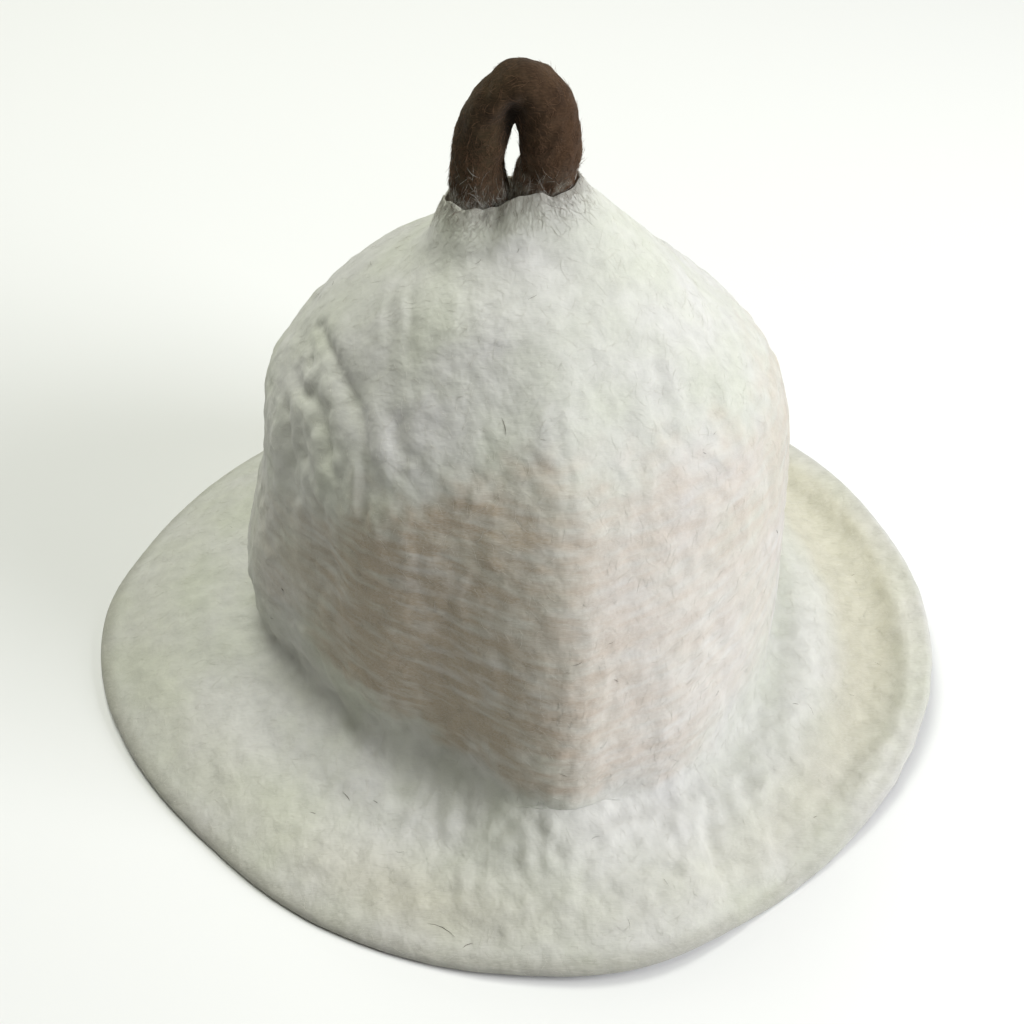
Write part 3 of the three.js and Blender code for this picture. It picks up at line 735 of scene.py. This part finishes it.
# Each set of threads: grid, weight, count, seed, length, heading, lift, thickness and, for some, curl.
white_one = make_piece("white_fibres_1", *lay_threads(body_grid, show, 8000, 41, 4.5, (0, 60), 0.03, 0.06))
white_two = make_piece("white_fibres_2", *join_threads(
    lay_threads(body_grid, show, 5500, 43, 3.2, (0, 90), 0.03, 0.06),
    lay_threads(body_grid, collar_rows, 2400, 44, 3.4, (90, 50), 0.12, 0.07),
    lay_threads(loop_rows, seat, 2000, 45, 4.0, (90, 40), 0.3, 0.07),
))
brown_fibres = make_piece("brown_fibres", *join_threads(
    lay_threads(loop_rows, lower_loop, 2600, 47, 4.0, (90, 38), 0.35, 0.09, 1.1),
    lay_threads(body_grid, collar_rows**3, 150, 48, 3.0, (90, 45), 0.3, 0.08, 0.8),
))

# Coarse dark hairs that were left in the fleece: azimuth, station, length in millimetres, direction, bend.
HAIRS = np.array([
    (-30.4, 8.05, 4.5, 15, 0.3), (-33.8, 8.6, 2.5, -20, 0.2), (-9, 9.5, 11, 14, 0.5),
    (-5.5, 9.7, 4, -30, 0.4), (-1.8, 2.84, 6, 75, 0.3), (49.5, 3.51, 1.2, 50, 0.1),
    (60.6, 7.72, 2.5, 60, 0.4), (47, 9.3, 1.6, 20, 0.1), (-25, 7.9, 2.2, 5, 0.2),
    (20, 5.2, 2, 40, 0.3), (-62, 5.6, 2.5, -15, 0.4), (66, 4.9, 2, 80, 0.3),
])
hair_azimuth, hair_station, hair_length, hair_aim, hair_bend = HAIRS.T
hair_rows = np.interp(hair_station, stations, np.arange(OUTER_ROWS))
hair_columns = hair_azimuth % 360 / 360 * COLUMNS
hair_lift = np.full(len(HAIRS), 0.2)
hair_thickness = np.full(len(HAIRS), 0.16)
hair_bend = hair_bend * hair_length
hair_aim = np.radians(hair_aim)
hair_lines, hair_up = thread_lines(
    body_grid, hair_rows, hair_columns, hair_length, hair_aim, hair_bend, hair_lift
)
outside_only = np.zeros(body_grid.shape[:2])
outside_only[: OUTER_ROWS - 2] = 1
dark_hairs = make_piece("dark_hairs", *join_threads(
    threads(hair_lines, hair_up, hair_thickness),
    lay_threads(body_grid, outside_only, 40, 49, 3.0, (0, 80), 0.05, 0.08, 0.5),
))
for piece, slot in (
    (white_one, "white_felt"),
    (white_two, "white_felt"),
    (dark_hairs, "white_felt"),
    (brown_fibres, "brown_felt"),
):
    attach(piece, "root")

# %% [markdown]
# ## Colours and nodes
# Colours are written as the sRGB hex values that one reads off a screen. Blender wants linear light, so one
# function turns them. Another adds a shader node with its settings and its links in one call.


# %% Colours and nodes
def colour(hex_value):
    """A linear colour with full alpha from an sRGB hex value such as d9d8cc."""
    shares = np.array([int(hex_value[k : k + 2], 16) / 255 for k in (0, 2, 4)])
    linear = np.where(shares <= 0.04045, shares / 12.92, ((shares + 0.055) / 1.055) ** 2.4)
    return (*[float(value) for value in linear], 1.0)


def add_node(tree, kind, inputs=None, **settings):
    """One node of a kind. settings are its properties. inputs gives each socket a value, or a link from an
    output or from a node, whose first output in use is taken."""
    made = tree.nodes.new(kind)
    for name, value in settings.items():
        setattr(made, name, value)
    for name, value in (inputs or {}).items():
        if isinstance(value, bpy.types.Node):
            value = next(output for output in value.outputs if output.enabled)
        if isinstance(value, bpy.types.NodeSocket):
            tree.links.new(value, made.inputs[name])
        else:
            made.inputs[name].default_value = value
    return made


def new_material(name):
    """An empty material, its node tree and the output of its Object coordinates."""
    material = bpy.data.materials.new(name)
    material.use_nodes = True
    tree = material.node_tree
    tree.nodes.clear()
    return material, tree, add_node(tree, "ShaderNodeTexCoord").outputs["Object"]


# %% [markdown]
# ## Patterns in wool
# Both felts share a few patterns: soft blotches, strokes of fibre, colours laid over each other, and heights
# that roughen the surface. Each is a short chain of nodes that a function makes, with its sizes in
# millimetres. A painted image could do the same, but it would need a map and blur in a close view.

# %% Patterns in wool
PER_METRE = 1.0 / MM  # a noise of scale PER_METRE / 5 has features 5 mm wide


def blotches(tree, where, size, detail, low, high, most=1.0):
    """Soft random blotches of a size: a noise whose values between low and high are spread from 0 to most."""
    hills = {"Vector": where, "Scale": PER_METRE / size, "Detail": detail}
    noise = add_node(tree, "ShaderNodeTexNoise", hills)
    spread = {"Value": noise, "From Min": low, "From Max": high, "To Max": most}
    return add_node(tree, "ShaderNodeMapRange", spread)


def strokes(tree, where, turned, thin, long):
    """Strokes of fibre: the high parts of a noise that is stretched along one direction, as a share."""
    placed = add_node(tree, "ShaderNodeMapping", {
        "Vector": where,
        "Rotation": turned,
        "Scale": (PER_METRE / long, PER_METRE / thin, PER_METRE / thin),
    })
    noise = add_node(tree, "ShaderNodeTexNoise", {
        "Vector": placed, "Scale": 1.0, "Detail": 1.0, "Distortion": 0.8,
    })
    return add_node(tree, "ShaderNodeMapRange", {"Value": noise, "From Min": 0.45, "From Max": 0.8})


def crossed(tree, first, *others, weight):
    """Sets of strokes over each other, of which the strongest shows, and that times a weight."""
    for other in others:
        first = add_node(tree, "ShaderNodeMath", {0: first, 1: other}, operation="MAXIMUM")
    return first, add_node(tree, "ShaderNodeMath", {0: first, 1: weight}, operation="MULTIPLY")


def rightwards(tree, where, left, right):
    """A share that rises from 0 to 1 between two places across the hat, in millimetres from its middle."""
    across = add_node(tree, "ShaderNodeSeparateXYZ", {0: where})
    span = {"Value": across, "From Min": left * MM, "From Max": right * MM}
    return add_node(tree, "ShaderNodeMapRange", span)


def layered(tree, ground, *layers):
    """A ground colour with others laid over it in turn, each by its share."""
    for share, tone in layers:
        blend = {"Factor": share, "A": ground, "B": tone}
        ground = add_node(tree, "ShaderNodeMix", blend, data_type="RGBA")
    return ground


def roughened(tree, *heights):
    """The surface's direction under heights laid over each other: pattern, strength, depth in millimetres."""
    under = {}
    for height, strength, depth in heights:
        inputs = {"Height": height, "Strength": strength, "Distance": depth * MM, **under}
        under = {"Normal": add_node(tree, "ShaderNodeBump", inputs)}
    return under["Normal"]


def finish(piece, tree, material, skin):
    """The shader of a woollen surface, joined to the output and put on the piece. Wool has an IOR of 1.55."""
    shader = add_node(tree, "ShaderNodeBsdfPrincipled", {**skin, "IOR": 1.55})
    add_node(tree, "ShaderNodeOutputMaterial", {"Surface": shader})
    piece.data.materials.append(material)


# %% [markdown]
# ## White wool felt
# The body is carded sheep's wool, wet-felted by hand, off-white with a touch of green and grey. To the eye
# that gives a dull, soft surface with no gloss: clouds of slightly different white, puffs where tufts met,
# a fine crossing of fibres and a thin veil of fuzz. Sheen stands for the veil. Scales come from real sizes:
# clouds 32 mm wide, puffs of 5.5 mm, and fibres drawn 0.4 mm thick, because the real 0.03 mm would not
# show. Painted highlights make the felt paler round the collar's foot, on the lit face right of the keel
# and on the bulge at the right. Painted shade darkens the hem, most at the front and left, and the low
# parts of the puffs a little. A darker cream in the dish of the right brim and behind the crown is partly
# the wool's tint and partly painted shade.

# %% White wool felt
white, tree, where = new_material("wet_felted_white_wool")
stored = {
    name: add_node(tree, "ShaderNodeAttribute", attribute_name=name).outputs["Fac"]
    for name in ("beige", "cream", "painted_highlight", "hem_painted_shade", "veil")
}
flat = add_node(tree, "ShaderNodeMapping", {
    "Vector": where, "Scale": (PER_METRE / 16, PER_METRE / 16, PER_METRE / 3),
})
streaks = add_node(tree, "ShaderNodeTexNoise", {"Vector": flat, "Scale": 1.0, "Detail": 3.0})
patchy = add_node(tree, "ShaderNodeMapRange", {
    "Value": streaks, "From Min": 0.3, "From Max": 0.65, "To Min": 0.35, "To Max": 1.1,
})
tint = add_node(tree, "ShaderNodeMath", {0: stored["beige"], 1: patchy}, operation="MULTIPLY")
# The beige is darker and browner on the left, the shaded side, and lighter on the right: partly its own tone
# and partly painted shade.
tan_and_painted_shade = layered(tree, colour("aa9c88"), (rightwards(tree, where, 5, 30), colour("bfb0a0")))
wool = layered(
    tree,
    colour("c9c8c4"),
    (blotches(tree, where, 32, 3.0, 0.35, 0.65), colour("c2c4b6")),
    # Darker cream: partly the wool's tint, partly painted shade.
    (stored["cream"], colour("bbb7a5")),
    # Painted highlight on the lit faces.
    (stored["painted_highlight"], colour("d6d5d0")),
    (tint, tan_and_painted_shade),
    # Painted shade on the hem.
    (stored["hem_painted_shade"], colour("8a877a")),
)
puff = blotches(tree, where, 5.5, 2.0, 0.3, 0.7)
# Painted shade: the felt is darkened by up to a tenth in the low parts of the puffs that also roughen it.
puff_painted_shade = add_node(tree, "ShaderNodeMapRange", {"Value": puff, "To Min": 0.9, "To Max": 1.03})
darker = {"Factor": 1.0, "A": wool, "B": puff_painted_shade}
toned = add_node(tree, "ShaderNodeMix", darker, data_type="RGBA", blend_type="MULTIPLY")
fibres, fibre_share = crossed(
    tree,
    strokes(tree, where, (0.0, 0.0, 0.3), 0.4, 5.0),
    strokes(tree, where, (0.0, 0.7, 1.4), 0.4, 4.5),
    strokes(tree, where, (0.0, -0.8, 0.8), 0.4, 4.5),
    weight=0.3,
)
grain = add_node(tree, "ShaderNodeTexNoise", {"Vector": where, "Scale": PER_METRE / 1.3, "Detail": 3.0})
veiled = layered(tree, toned, (fibre_share, colour("d6d4cc")), (stored["veil"], colour("6b5f50")))
finish(felt_hat, tree, white, {
    "Base Color": veiled,
    "Normal": roughened(tree, (puff, 0.28, 1.0), (grain, 0.22, 0.4), (fibres, 0.25, 0.1)),
    "Roughness": 0.95,
    "Specular IOR Level": 0.2,
    "Sheen Weight": 0.12,
    "Sheen Roughness": 0.6,
})

# %% [markdown]
# ## Loose wool
# Single fibres of the same wool. The white ones are a little brighter than the felt, because light goes
# through them. The coarse hairs of the outer coat are dark brown and thicker.


# %% Loose wool
def fibre_finish(piece, name, size, first, second):
    """A plain soft finish for single fibres, whose colour changes from place to place."""
    material, tree, where = new_material(name)
    noise = add_node(tree, "ShaderNodeTexNoise", {"Vector": where, "Scale": PER_METRE / size, "Detail": 2.0})
    shade = layered(tree, colour(first), (noise, colour(second)))
    finish(piece, tree, material, {"Base Color": shade, "Roughness": 0.8, "Specular IOR Level": 0.2})


fibre_finish(white_one, "loose_white_wool", 6, "d8d7d0", "c3bfb2")
white_two.data.materials.append(white_one.data.materials[0])
fibre_finish(dark_hairs, "coarse_dark_hair", 5, "5b4c3e", "3a3028")
fibre_finish(brown_fibres, "loose_brown_wool", 4, "4a3728", "86684f")

# %% [markdown]
# ## Brown wool felt
# The loop is a roll of naturally dark brown wool. The eye sees a deep matt brown, greener on the left and
# redder at the lower right, with lighter fibres that curl over it. The tight bend where the roll is pinched
# is painted nearly black, as painted shade.

# %% Brown wool felt
brown, tree, where = new_material("rolled_brown_wool")
stored = {
    name: add_node(tree, "ShaderNodeAttribute", attribute_name=name).outputs["Fac"]
    for name in ("pinch_and_painted_shade", "veil")
}
curls, curl_share = crossed(
    tree,
    strokes(tree, where, (0.0, 1.45, 0.0), 0.5, 4.0),
    strokes(tree, where, (0.3, 1.1, 0.4), 0.5, 3.5),
    weight=0.4,
)
lumps = add_node(tree, "ShaderNodeTexNoise", {"Vector": where, "Scale": PER_METRE / 3.5, "Detail": 2.0})
grain = add_node(tree, "ShaderNodeTexNoise", {"Vector": where, "Scale": PER_METRE, "Detail": 3.0})
wool = layered(
    tree,
    colour("38301f"),
    (rightwards(tree, where, -16, 18), colour("43301f")),
    (blotches(tree, where, 7, 3.0, 0.35, 0.65, 0.6), colour("281c13")),
    (curl_share, colour("624a37")),
    # Painted shade in the pinched bend.
    (stored["pinch_and_painted_shade"], colour("0c0704")),
    (stored["veil"], colour("a3a194")),
)
finish(felt_loop, tree, brown, {
    "Base Color": wool,
    "Normal": roughened(tree, (lumps, 0.6, 1.2), (grain, 0.6, 0.4), (curls, 0.4, 0.2)),
    "Roughness": 0.95,
    "Specular IOR Level": 0.15,
    "Sheen Weight": 0.05,
    "Sheen Roughness": 0.5,
})

# %% [markdown]
# ## The table and the light
# The hat stands on a plain pale table. A large soft light low on its right makes the right side bright and
# leaves the left of the keel in shade. A second one, high behind the hat, lights the brim and the back of
# the crown, a weak one overhead fills the top, and a faint light from all round keeps the shade open.

# %% The table and the light
TABLE_HALF = 3.0  # metres
table_mesh = bpy.data.meshes.new("table")
table_mesh.from_pydata(
    [(x * TABLE_HALF, y * TABLE_HALF, -0.2 * MM) for x, y in ((-1, -1), (1, -1), (1, 1), (-1, 1))],
    [],
    [(0, 1, 2, 3)],
)
table = bpy.data.objects.new("table", table_mesh)
bpy.context.scene.collection.objects.link(table)
paper, tree, where = new_material("matt_white_paper")
skin = add_node(tree, "ShaderNodeBsdfPrincipled", {"Base Color": colour("e6e6e5"), "Roughness": 0.9})
add_node(tree, "ShaderNodeOutputMaterial", {"Surface": skin.outputs["BSDF"]})
table_mesh.materials.append(paper)


def window(name, azimuth, elevation, distance, size, power, tone):
    """A square area light that faces the hat from an azimuth and elevation in degrees, lengths in metres."""
    turn, rise = np.radians(azimuth), np.radians(elevation)
    spot = distance * np.array([np.sin(turn) * np.cos(rise), -np.cos(turn) * np.cos(rise), np.sin(rise)])
    data = bpy.data.lights.new(name, "AREA")
    data.size = size
    data.energy = power
    data.color = colour(tone)[:3]
    lamp = bpy.data.objects.new(name, data)
    target = Vector((0, 0, 0.08))
    lamp.location = Vector(spot) + target
    lamp.rotation_euler = Vector(spot).to_track_quat("Z", "Y").to_euler()
    bpy.context.scene.collection.objects.link(lamp)


window("window_right", 69, 27, 1.5, 0.8, 23.6, "f8f9ff")
window("window_behind", -152, 62, 1.6, 0.9, 20.0, "fcfff6")
window("ceiling", 0, 84, 1.6, 0.9, 6.5, "fcfff6")
world = bpy.data.worlds.new("room")
world.use_nodes = True
world.node_tree.nodes["Background"].inputs["Color"].default_value = colour("fff8e8")
world.node_tree.nodes["Background"].inputs["Strength"].default_value = 0.045
bpy.context.scene.world = world
bpy.context.scene.view_settings.view_transform = "Standard"
